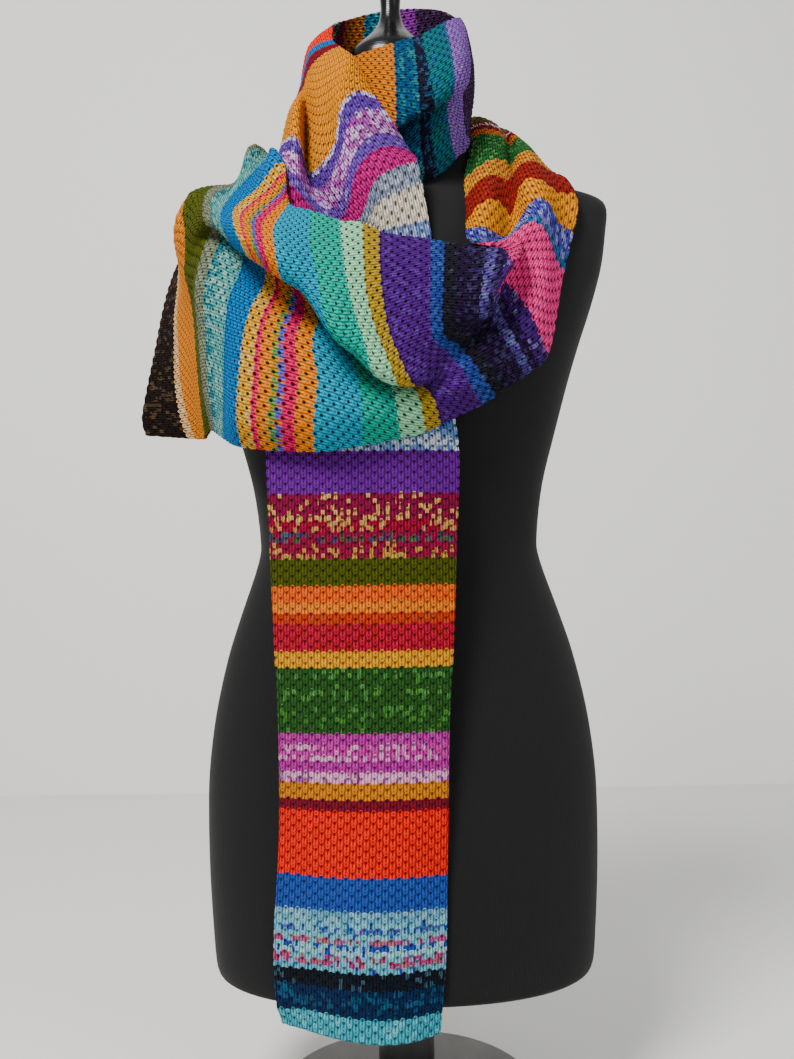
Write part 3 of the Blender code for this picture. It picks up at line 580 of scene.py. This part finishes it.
def knit_material(name, first_row, last_row, bands, hole_shade_depth):
    """Wool and cotton yarns in an open tuck stitch: matt, a little hairy, with painted shade in its small
    holes and between its strands.
    The map's u counts stitches across the strip and its v counts rows of stitches along it."""
    made = new_material("tuck_stitch_wool_" + name)
    tree = made.node_tree
    where = add(tree, "UVMap", uv_map="stitches")
    wale, row = add(tree, "SeparateXYZ", where).node.outputs[:2]
    own, tall = knit_rows(tree, wale, row)
    dyed, chance = yarn_colour(tree, wale, own, bands, first_row, last_row)
    strand, hole = strand_and_hole(tree, wale, row, own, tall)
    hairs = add(tree, "Mapping", where, Scale=(WALE / HAIR_WIDTH, ROW / HAIR_LENGTH, 1.0))
    fuzz = add(tree, "TexNoise", hairs, Scale=1.0, Detail=5.0, Roughness=0.75)
    # Painted shade between strands, each cell a little lighter or darker, mottled by hairs, and painted
    # shade in a hole, deeper as the stretch's stitches are more open
    shade_and_tone = add(tree, "MULTIPLY_ADD", strand, 0.80, 0.36)
    shade_and_tone = add(tree, "MULTIPLY", shade_and_tone, add(tree, "MULTIPLY_ADD", chance, 0.20, 0.90))
    shade_and_tone = add(tree, "MULTIPLY", shade_and_tone, add(tree, "MULTIPLY_ADD", fuzz, 1.0, 0.52))
    shade_and_tone = add(tree, "MULTIPLY", shade_and_tone, add(tree, "MULTIPLY_ADD", hole, -hole_shade_depth, 1.0))
    height = add(tree, "MULTIPLY_ADD", fuzz, 0.35, strand)
    height = add(tree, "MULTIPLY_ADD", hole, -1.4, height)
    return finished(made, Base_Color=add(tree, "VectorMath", dyed, shade_and_tone, operation="SCALE"),
                    Normal=add(tree, "Bump", Strength=1.0, Distance=0.9 * MM, Height=height),
                    Roughness=0.88, Specular_IOR_Level=0.03, Sheen_Weight=0.02, Sheen_Roughness=0.6)


def jersey_material():
    """Stretch jersey over foam: charcoal, matt, with fine ribs that run up the form and painted shade in
    their grooves.
    """
    made = new_material("charcoal_rib_jersey")
    tree = made.node_tree
    where = object_place(tree)
    x, y = add(tree, "SeparateXYZ", where).node.outputs[:2]
    ribs = round(HIP_GIRTH / JERSEY_RIB)
    rib = add(tree, "SINE", add(tree, "MULTIPLY", add(tree, "ARCTAN2", y, x), ribs))
    fuzz = add(tree, "TexNoise", where, Scale=1 / (JERSEY_FUZZ * MM), Detail=3.0)
    cloud = add(tree, "TexNoise", where, Scale=1 / (JERSEY_CLOUD * MM), Detail=3.0)
    # Painted shade in the groove of each rib; patches lighter or darker at random, mottled by fuzz
    shade_and_tone = add(tree, "MULTIPLY_ADD", rib, 0.03, 0.95)
    shade_and_tone = add(tree, "MULTIPLY", shade_and_tone, add(tree, "MULTIPLY_ADD", cloud, 0.3, 0.85))
    shade_and_tone = add(tree, "MULTIPLY", shade_and_tone, add(tree, "MULTIPLY_ADD", fuzz, 0.6, 0.7))
    height = add(tree, "MULTIPLY_ADD", fuzz, 0.5, rib)
    return finished(made, Base_Color=add(tree, "VectorMath", linear("#121213"), shade_and_tone, operation="SCALE"),
                    Normal=add(tree, "Bump", Strength=0.2, Distance=0.3 * MM, Height=height),
                    Roughness=0.9, Specular_IOR_Level=0.2, Sheen_Weight=0.04, Sheen_Roughness=0.5)


def lacquer_material():
    """Turned beech under black gloss lacquer: deep black, with faint turning rings in its shine."""
    made = new_material("black_gloss_lacquer")
    tree = made.node_tree
    where = object_place(tree)
    height = add(tree, "SeparateXYZ", where).node.outputs[2]
    rings = add(tree, "SINE", add(tree, "MULTIPLY", height, 2 * math.pi / (TURNING_MARK * MM)))
    haze = add(tree, "TexNoise", where, Scale=1 / (LACQUER_HAZE * MM), Detail=4.0)
    return finished(made, Base_Color=linear("#080809") + [1.0],
                    Roughness=add(tree, "MULTIPLY_ADD", haze, 0.14, 0.14),
                    Normal=add(tree, "Bump", Strength=0.15, Distance=0.2 * MM, Height=rings),
                    Specular_IOR_Level=0.35)


def powder_coat_material():
    """Steel under black powder coat: satin, with a fine orange-peel grain."""
    made = new_material("black_powder_coat")
    tree = made.node_tree
    where = object_place(tree)
    peel = add(tree, "TexNoise", where, Scale=1 / (ORANGE_PEEL * MM), Detail=2.0)
    wear = add(tree, "TexNoise", where, Scale=1 / (COAT_WEAR * MM), Detail=4.0)
    return finished(made, Base_Color=linear("#121213") + [1.0],
                    Roughness=add(tree, "MULTIPLY_ADD", wear, 0.25, 0.28),
                    Normal=add(tree, "Bump", Strength=0.3, Distance=0.2 * MM, Height=peel))


def matt_paint(name, code, roughness):
    """Pale matt paint of the floor or the wall: plain, and almost without shine."""
    return finished(new_material(name), Base_Color=linear(code) + [1.0], Roughness=roughness)


# ---------------------------------------------------------------- making and finishing a piece

def choose(piece):
    """Leave this piece as the only one that is selected."""
    bpy.ops.object.select_all(action="DESELECT")
    piece.select_set(True)
    bpy.context.view_layer.objects.active = piece


def add_mesh(name, points, faces, finish):
    mesh = bpy.data.meshes.new(name)
    mesh.from_pydata([tuple(p) for p in np.asarray(points, float) * MM], [], faces)
    mesh.materials.append(finish)
    mesh.update()
    mesh.shade_smooth()
    made = bpy.data.objects.new(name, mesh)
    bpy.context.scene.collection.objects.link(made)
    return made


def apply_modifier(piece, modifier):
    choose(piece)
    bpy.ops.object.modifier_apply(modifier=modifier.name)


def finish_hard_piece(piece, solid):
    """Put the piece's place into its mesh, round its shading, hang it from the root and hide the solid it
    stands for.
    """
    choose(piece)
    bpy.ops.object.transform_apply(location=True, rotation=True, scale=True)
    bpy.ops.object.shade_smooth_by_angle(angle=SHARP_FROM)
    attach(piece, "root")
    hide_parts(solid)


# ---------------------------------------------------------------- laying the cloth

def smooth_curve(points, places):
    """Points of a Catmull-Rom curve through the given points, at the given places along their list."""
    points = np.asarray(points, float)
    last = len(points) - 1
    padded = np.concatenate([2 * points[:1] - points[1:2], points, 2 * points[-1:] - points[-2:-1]])
    places = np.clip(np.asarray(places, float), 0, last - 1e-9)
    k = places.astype(int)
    t = (places - k).reshape((-1,) + (1,) * (points.ndim - 1))
    p0, p1, p2, p3 = padded[k], padded[k + 1], padded[k + 2], padded[k + 3]
    return 0.5 * (2 * p1 + (p2 - p0) * t + (2 * p0 - 5 * p1 + 4 * p2 - p3) * t ** 2
                  + (3 * p1 - p0 - 3 * p2 + p3) * t ** 3)


def smooth_sheet(field, along, across):
    """Values of a smooth surface through a grid, at the given places along it and across it."""
    return smooth_curve(smooth_curve(field, along).transpose(1, 0, 2), across).transpose(1, 0, 2)


def spread_evenly(points, count):
    """The same curve with points at equal distances along it."""
    fine = smooth_curve(points, np.linspace(0, len(points) - 1, FINE_POINTS))
    run = np.concatenate([[0], np.cumsum(np.linalg.norm(np.diff(fine, axis=0), axis=1))])
    wanted = np.linspace(0, run[-1], count)
    return np.stack([np.interp(wanted, run, fine[:, c]) for c in range(3)], axis=1)


def soften(field):
    """Each value averaged with its neighbours in both directions."""
    wide = np.pad(field, [(1, 1), (1, 1)] + [(0, 0)] * (field.ndim - 2), mode="edge")
    return (wide[1:-1, 1:-1] * 2 + wide[:-2, 1:-1] + wide[2:, 1:-1] + wide[1:-1, :-2] + wide[1:-1, 2:]) / 6


def widen(field):
    """Each value raised to the highest of its neighbours."""
    wide = np.pad(field, 1, mode="edge")
    sides = [wide[1:-1, 1:-1], wide[:-2, 1:-1], wide[2:, 1:-1], wide[1:-1, :-2], wide[1:-1, 2:]]
    return np.max(sides, axis=0)


def unit(vectors):
    return vectors / np.linalg.norm(vectors, axis=-1, keepdims=True)


def lay_lines():
    """All the cloth's points as rows across it, each row's place in lines, and the row of each line."""
    lines = np.array([spread_evenly(points, ACROSS) for name, points in LINES])
    places = [0.0]
    where = {LINES[0][0]: 0}
    for k in range(len(LINES) - 1):
        length = np.linalg.norm(lines[k + 1] - lines[k], axis=1).mean()
        steps = max(2, round(length / STEP))
        places += [k + (j + 1) / steps for j in range(steps)]
        where[LINES[k + 1][0]] = len(places) - 1
    return soften(smooth_curve(lines, places)), places, where


def grid_faces(rows, columns):
    """Four-sided faces between the points of a grid."""
    corner = np.arange((rows - 1) * columns).reshape(rows - 1, columns)[:, :-1].reshape(-1, 1)
    return corner + np.array([0, 1, columns + 1, columns])


def layer_of(grid):
    """A sheet of cloth, as something that other points can be measured from."""
    points = [tuple(p) for p in grid.reshape(-1, 3)]
    return BVHTree.FromPolygons(points, grid_faces(*grid.shape[:2]).tolist())


def reach_needed(grid, first, last, form, laid, need, out):
    """Note how far each point of a stretch is short of clearing what lies under it, and the way out."""
    for i in range(first, last + 1):
        for j in range(ACROSS):
            point = Vector(grid[i, j])
            spot, away, face, distance = form.find_nearest(point)
            need[i, j] = max(need[i, j], FORM_GAP - (point - spot).dot(away))
            out[i, j] = away
            for layer, layer_row in laid:
                hit, facing, face, distance = layer.ray_cast(point + away * PROBE_OUT, -away, PROBE_LENGTH)
                if hit is not None and abs(layer_row + face // (ACROSS - 1) - i) > NEAR_ROWS:
                    need[i, j] = max(need[i, j], LAYER_GAP - (point - hit).dot(away))


def settle_cloth(form):
    """The middle surface of the whole scarf, each stretch laid clear of the form and of those under it."""
    grid, places, where = lay_lines()
    spans = {piece: (where[first], where[last]) for piece, solid, first, last, hole_shade_depth in STRETCHES}
    for turn in range(PASSES):
        need = np.zeros(grid.shape[:2])
        out = np.zeros_like(grid)
        laid = []
        for name in LAID:
            first, last = spans[name]
            reach_needed(grid, first, last, form, laid, need, out)
            laid.append((layer_of(grid[first:last + 1]), first))
        for k in range(TURN_ROUNDS):
            out = soften(out)
        need = widen(need)
        lift = need
        for k in range(LIFT_ROUNDS):
            lift = np.maximum(need, soften(lift) * LIFT_KEPT)
        grid += unit(out) * lift[:, :, None]
    return grid, places, spans


def measured_cloth(grid, places):
    """The laid cloth with what its stitches are counted from."""
    normals = unit(np.cross(np.gradient(grid, axis=1), np.gradient(grid, axis=0)))
    strides = np.linalg.norm(np.diff(grid, axis=0), axis=2).mean(axis=1)
    stitch_rows = np.concatenate([[0], np.cumsum(strides)]) / ROW
    bands = [(round(float(np.interp(place, places, stitch_rows))), code, fleck, amount)
             for place, code, fleck, amount in BANDS]
    widths = np.linalg.norm(np.diff(grid, axis=1), axis=2).sum(axis=1)
    for k in range(WIDTH_ROUNDS):
        widths = soften(widths[:, None])[:, 0]
    return Cloth(grid, normals, stitch_rows, widths, bands)


# ---------------------------------------------------------------- the knit

def knit_relief(wale, row):
    """Height of the stitches: holes and bumps alternate like the squares of a chess board."""
    waves = np.cos(math.pi * wale) * np.cos(math.pi * (row - RELIEF_START))
    return RELIEF * (BUMP_SHARE * np.maximum(-waves, 0.0) - np.maximum(waves, 0.0) ** 2)


def bands_between(bands, start, end):
    """The bands that a stretch shows, from the one that its start lies in."""
    first = max([k for k, band in enumerate(bands) if band[0] <= start], default=0)
    return [band for band in bands[first:] if band[0] < end]


def knit_piece(name, cloth, first, last, width, length, hole_shade_depth):
    """One stretch of the strip, between two rows of points: a thin wall with every stitch's bump and
    hole in its surface."""
    along = np.linspace(first, last, round(length / FINE_ALONG) + 1)
    across = np.linspace(0, ACROSS - 1, round(width / FINE_ACROSS) + 1)
    numbers = np.arange(len(cloth.widths))
    row = np.repeat(np.interp(along, numbers, cloth.stitch_rows)[:, None], len(across), axis=1)
    wale = np.interp(along, numbers, cloth.widths)[:, None] * (across / across[-1] - 0.5) / WALE
    middle = smooth_sheet(cloth.grid, along, across)
    normal = unit(smooth_sheet(cloth.normals, along, across))
    surface = middle + normal * knit_relief(wale, row)[:, :, None]
    faces = grid_faces(*surface.shape[:2])
    start = cloth.stitch_rows[first] - SPARE_ROWS
    end = cloth.stitch_rows[last] + SPARE_ROWS
    finish = knit_material(name, start, end, bands_between(cloth.bands, start, end), hole_shade_depth)
    piece = add_mesh(name, surface.reshape(-1, 3), faces.tolist(), finish)
    layer = piece.data.uv_layers.new(name="stitches")
    stitches = np.stack([wale.reshape(-1), row.reshape(-1)], axis=1)[faces.reshape(-1)]
    layer.data.foreach_set("uv", stitches.reshape(-1))
    wall = piece.modifiers.new("wall", "SOLIDIFY")
    wall.thickness = CLOTH * MM
    wall.offset = 0.0
    apply_modifier(piece, wall)
    return piece


def make_scarf():
    form_object = bpy.data.objects["form_torso"]
    points = [v.co / MM for v in form_object.data.vertices]
    form = BVHTree.FromPolygons(points, [tuple(p.vertices) for p in form_object.data.polygons])
    grid, places, spans = settle_cloth(form)
    cloth = measured_cloth(grid, places)
    for name, solid, first_line, last_line, hole_shade_depth in STRETCHES:
        first, last = spans[name]
        width = cloth.widths[first:last + 1].mean()
        length = (cloth.stitch_rows[last] - cloth.stitch_rows[first]) * ROW
        piece = knit_piece(name, cloth, first, last, width, length, hole_shade_depth)
        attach(piece, "root")
        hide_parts(solid)


# ---------------------------------------------------------------- dress form and stand

def torso_ring(level):
    """Points round one level: a rounded oval, deeper at the front or the back as the level says."""
    height, half_width, front, back, square = level
    ring = []
    for k in range(TORSO_SIDES):
        angle = 2 * math.pi * k / TORSO_SIDES
        c = math.cos(angle)
        s = math.sin(angle)
        depth = back if s > 0 else front
        x = half_width * math.copysign(abs(c) ** (2 / square), c)
        y = depth * math.copysign(abs(s) ** (2 / square), s)
        ring.append((x, y, height))
    return ring


def make_torso():
    """The padded torso: the same levels as its solid, with many more rings between them."""
    levels = smooth_curve(TORSO_LEVELS, np.linspace(0, len(TORSO_LEVELS) - 1, TORSO_RINGS))
    points = [point for level in levels for point in torso_ring(level)]
    faces = []
    for ring in range(TORSO_RINGS - 1):
        for k in range(TORSO_SIDES):
            a = ring * TORSO_SIDES + k
            b = ring * TORSO_SIDES + (k + 1) % TORSO_SIDES
            faces.append((a, b, b + TORSO_SIDES, a + TORSO_SIDES))
    top = (TORSO_RINGS - 1) * TORSO_SIDES
    faces.append(tuple(reversed(range(TORSO_SIDES))))
    faces.append(tuple(range(top, top + TORSO_SIDES)))
    piece = add_mesh("form_torso_cover", points, faces, jersey_material())
    finish_hard_piece(piece, "form_torso")


def make_cap():
    """Turned neck cap with its stem and knob: a disc drawn up ring by ring."""
    rings = smooth_curve(CAP_PROFILE, np.linspace(len(CAP_PROFILE) - 1, 0, CAP_RINGS))
    radius = CAP_RADIUS
    height = NECK_TOP + JOINT_GAP
    bpy.ops.object.select_all(action="DESELECT")
    bpy.ops.mesh.primitive_circle_add(vertices=CAP_SIDES, radius=radius * MM, fill_type="NGON",
                                      location=(0, 0, height * MM))
    piece = bpy.context.object
    piece.name = "neck_cap"
    piece.data.materials.append(lacquer_material())
    bpy.ops.object.mode_set(mode="EDIT")
    bpy.ops.mesh.select_all(action="SELECT")
    for ring_radius, ring_height in rings:
        up = (0, 0, (ring_height - height) * MM)
        bpy.ops.mesh.extrude_region_move(TRANSFORM_OT_translate={"value": up})
        bpy.ops.transform.resize(value=(ring_radius / radius, ring_radius / radius, 1.0))
        radius = ring_radius
        height = ring_height
    bpy.ops.mesh.select_all(action="SELECT")
    bpy.ops.mesh.normals_make_consistent(inside=False)
    bpy.ops.object.mode_set(mode="OBJECT")
    finish_hard_piece(piece, "form_neck_cap")


def make_cylinder(name, radius, low, high, sides, edge, finish):
    """An upright cylinder with rounded edges."""
    bpy.ops.object.select_all(action="DESELECT")
    bpy.ops.mesh.primitive_cylinder_add(vertices=sides, radius=radius * MM, depth=(high - low) * MM,
                                        location=(0, 0, (low + high) / 2 * MM))
    piece = bpy.context.object
    piece.name = name
    piece.data.materials.append(finish)
    rounding = piece.modifiers.new("edge", "BEVEL")
    rounding.width = edge * MM
    rounding.segments = 4
    rounding.limit_method = "ANGLE"
    apply_modifier(piece, rounding)
    return piece


def make_stand():
    coat = powder_coat_material()
    disc = make_cylinder("stand_disc", BASE_RADIUS, 0.0, BASE_THICKNESS, DISC_SIDES, BASE_EDGE, coat)
    finish_hard_piece(disc, "stand_base")
    post = make_cylinder("stand_post", POLE_RADIUS, BASE_THICKNESS + JOINT_GAP, TORSO_BOTTOM - JOINT_GAP,
                         POLE_SIDES, POLE_EDGE, coat)
    finish_hard_piece(post, "stand_pole")


# ---------------------------------------------------------------- camera, light and floor

def make_surface(name, place, turn, finish):
    """A large flat surface of the room."""
    bpy.ops.object.select_all(action="DESELECT")
    bpy.ops.mesh.primitive_plane_add(size=ROOM_SIZE, location=place, rotation=turn)
    surface = bpy.context.object
    surface.name = name
    surface.data.materials.append(finish)


def make_stage():
    make_surface("floor", (0, 0, 0), (0, 0, 0), matt_paint("matt_floor_paint", "#efeeeb", 0.7))
    make_surface("backdrop", (0, WALL_BEHIND, 0), (math.pi / 2, 0, 0),
                 matt_paint("matt_wall_paint", "#f6f5f2", 0.8))


def area_light(name, place, aim, size, power, colour):
    data = bpy.data.lights.new(name, "AREA")
    data.shape = "DISK"
    data.size = size
    data.energy = power
    data.color = colour
    light = bpy.data.objects.new(name, data)
    light.location = place
    light.rotation_euler = (Vector(aim) - Vector(place)).to_track_quat("-Z", "Y").to_euler()
    bpy.context.scene.collection.objects.link(light)


def make_light():
    """A window high on the left, a wide weak lamp lower on the right, and the pale air of the room."""
    area_light("window", (-0.9, -1.5, 2.3), (0, 0, 0.65), 0.9, 95.0, (1.0, 0.985, 0.96))
    area_light("room", (1.7, -1.5, 1.2), (0, 0, 0.6), 1.6, 16.0, (0.96, 0.98, 1.0))
    world = bpy.data.worlds.new("room_air")
    world.use_nodes = True
    air = world.node_tree.nodes["Background"]
    put(air.inputs["Color"], (0.86, 0.88, 0.9, 1.0))
    put(air.inputs["Strength"], 0.45)
    bpy.context.scene.world = world


def make_camera():
    data = bpy.data.cameras.new("camera")
    data.lens = 35.0
    data.sensor_width = 36.0
    camera = bpy.data.objects.new("camera", data)
    tilt = Matrix.Rotation(CAMERA_TILT, 4, "X")
    lean = Matrix.Rotation(CAMERA_LEAN, 4, "Z")
    camera.matrix_world = Matrix.Translation(CAMERA_PLACE) @ tilt @ lean
    bpy.context.scene.collection.objects.link(camera)
    bpy.context.scene.camera = camera


make_camera()
make_stage()
make_light()
make_torso()
make_cap()
make_stand()
make_scarf()
